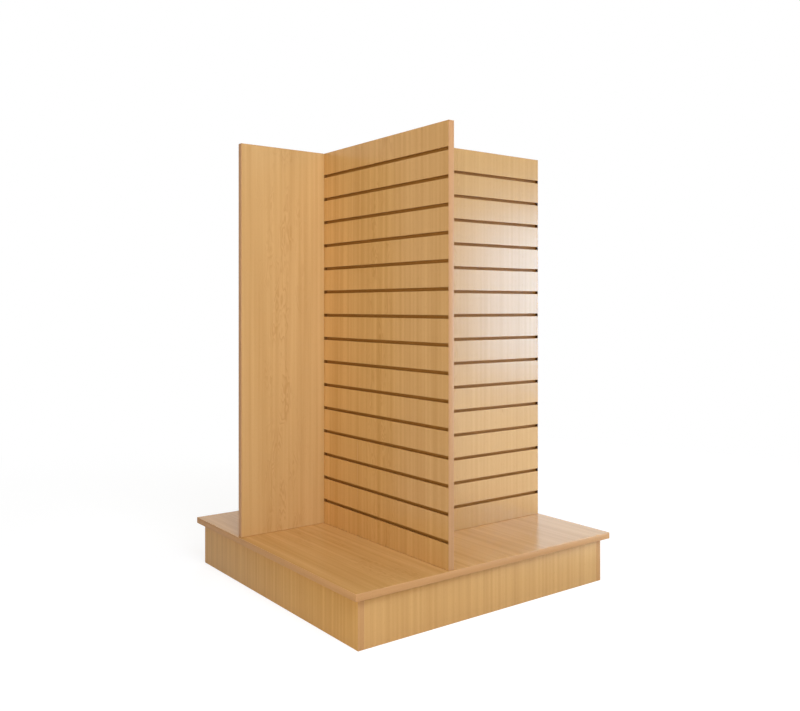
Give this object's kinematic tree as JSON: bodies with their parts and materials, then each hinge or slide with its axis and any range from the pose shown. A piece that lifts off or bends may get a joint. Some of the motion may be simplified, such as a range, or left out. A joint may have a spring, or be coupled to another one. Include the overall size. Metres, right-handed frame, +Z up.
{
  "type": "slatwall display stand",
  "caption": "Free-standing pinwheel slatwall display stand: grooved woodgrain panels round a square hollow core, on a plinth with an overhanging deck and hidden levelling feet.",
  "frame": {"origin": "on the floor, at the middle of the plinth's footprint", "axes": "+Z up; +X to the right and +Y from the front to the back. The front panel's wing points along -Y and its grooved face looks along -X; the other panels follow at quarter turns about Z"},
  "size_m": [0.9652, 0.9652, 1.3716],
  "materials": {
    "woodgrain": "satin melamine foil with a light beech grain",
    "edge_band": "satin woodgrain print",
    "raw_board": "bare fibreboard",
    "softwood": "planed, bare",
    "beech": "fluted, bare",
    "zinc_steel": "bright zinc plate",
    "nylon": "moulded"
  },
  "bodies": {
    "stand": {"deck_board": "woodgrain", "deck_band_front": "edge_band", "deck_band_right": "edge_band", "deck_band_back": "edge_band", "deck_band_left": "edge_band", "plinth_board_front": "woodgrain", "plinth_board_right": "woodgrain", "plinth_board_back": "woodgrain", "plinth_board_left": "woodgrain", "plinth_band_front_left": "edge_band", "plinth_band_front_right": "edge_band", "plinth_band_back_right": "edge_band", "plinth_band_back_left": "edge_band", "corner_block_front_left": "softwood", "corner_block_front_right": "softwood", "corner_block_back_right": "softwood", "corner_block_back_left": "softwood", "rail_front": "raw_board", "rail_right": "raw_board", "rail_back": "raw_board", "rail_left": "raw_board", "slatwall_front": "woodgrain", "slatwall_end_band_front": "edge_band", "slatwall_top_band_front": "edge_band", "slatwall_right": "woodgrain", "slatwall_end_band_right": "edge_band", "slatwall_top_band_right": "edge_band", "slatwall_back": "woodgrain", "slatwall_end_band_back": "edge_band", "slatwall_top_band_back": "edge_band", "slatwall_left": "woodgrain", "slatwall_end_band_left": "edge_band", "slatwall_top_band_left": "edge_band", "nut_plate_front_left": "zinc_steel", "nut_plate_front_right": "zinc_steel", "nut_plate_back_right": "zinc_steel", "nut_plate_back_left": "zinc_steel", "foot_screws": "zinc_steel", "corner_block_screws": "zinc_steel", "deck_angles": "zinc_steel", "deck_angle_screws": "zinc_steel", "core_angles": "zinc_steel", "core_angle_screws": "zinc_steel", "rail_dowels": "beech", "panel_dowels": "beech"},
    "leveler_pad_front_left": {"leveler_pad_front_left": "nylon"},
    "leveler_stem_front_left": {"leveler_stem_front_left": "zinc_steel"},
    "leveler_pad_front_right": {"leveler_pad_front_right": "nylon"},
    "leveler_stem_front_right": {"leveler_stem_front_right": "zinc_steel"},
    "leveler_pad_back_right": {"leveler_pad_back_right": "nylon"},
    "leveler_stem_back_right": {"leveler_stem_back_right": "zinc_steel"},
    "leveler_pad_back_left": {"leveler_pad_back_left": "nylon"},
    "leveler_stem_back_left": {"leveler_stem_back_left": "zinc_steel"}
  },
  "joints": [
    {"name": "foot_lift_front_left", "type": "slide", "parent": "stand", "child": "leveler_pad_front_left", "axis": [0, 0, -1], "range_m": [0, 0.0125]},
    {"name": "foot_screw_turn_front_left", "type": "hinge", "parent": "leveler_pad_front_left", "child": "leveler_stem_front_left", "pos_m": [-0.4236, -0.4236, 0.041], "axis": [0, 0, -1], "range_deg": [0, 3600]},
    {"name": "foot_lift_front_right", "type": "slide", "parent": "stand", "child": "leveler_pad_front_right", "axis": [0, 0, -1], "range_m": [0, 0.0125]},
    {"name": "foot_screw_turn_front_right", "type": "hinge", "parent": "leveler_pad_front_right", "child": "leveler_stem_front_right", "pos_m": [0.4236, -0.4236, 0.041], "axis": [0, 0, -1], "range_deg": [0, 3600]},
    {"name": "foot_lift_back_right", "type": "slide", "parent": "stand", "child": "leveler_pad_back_right", "axis": [0, 0, -1], "range_m": [0, 0.0125]},
    {"name": "foot_screw_turn_back_right", "type": "hinge", "parent": "leveler_pad_back_right", "child": "leveler_stem_back_right", "pos_m": [0.4236, 0.4236, 0.041], "axis": [0, 0, -1], "range_deg": [0, 3600]},
    {"name": "foot_lift_back_left", "type": "slide", "parent": "stand", "child": "leveler_pad_back_left", "axis": [0, 0, -1], "range_m": [0, 0.0125]},
    {"name": "foot_screw_turn_back_left", "type": "hinge", "parent": "leveler_pad_back_left", "child": "leveler_stem_back_left", "pos_m": [-0.4236, 0.4236, 0.041], "axis": [0, 0, -1], "range_deg": [0, 3600]}
  ],
  "couplings": [
    {"joint": "foot_screw_turn_front_left", "follows": "foot_lift_front_left", "rad_per_m": 5026.5},
    {"joint": "foot_screw_turn_front_right", "follows": "foot_lift_front_right", "rad_per_m": 5026.5},
    {"joint": "foot_screw_turn_back_right", "follows": "foot_lift_back_right", "rad_per_m": 5026.5},
    {"joint": "foot_screw_turn_back_left", "follows": "foot_lift_back_left", "rad_per_m": 5026.5}
  ]
}
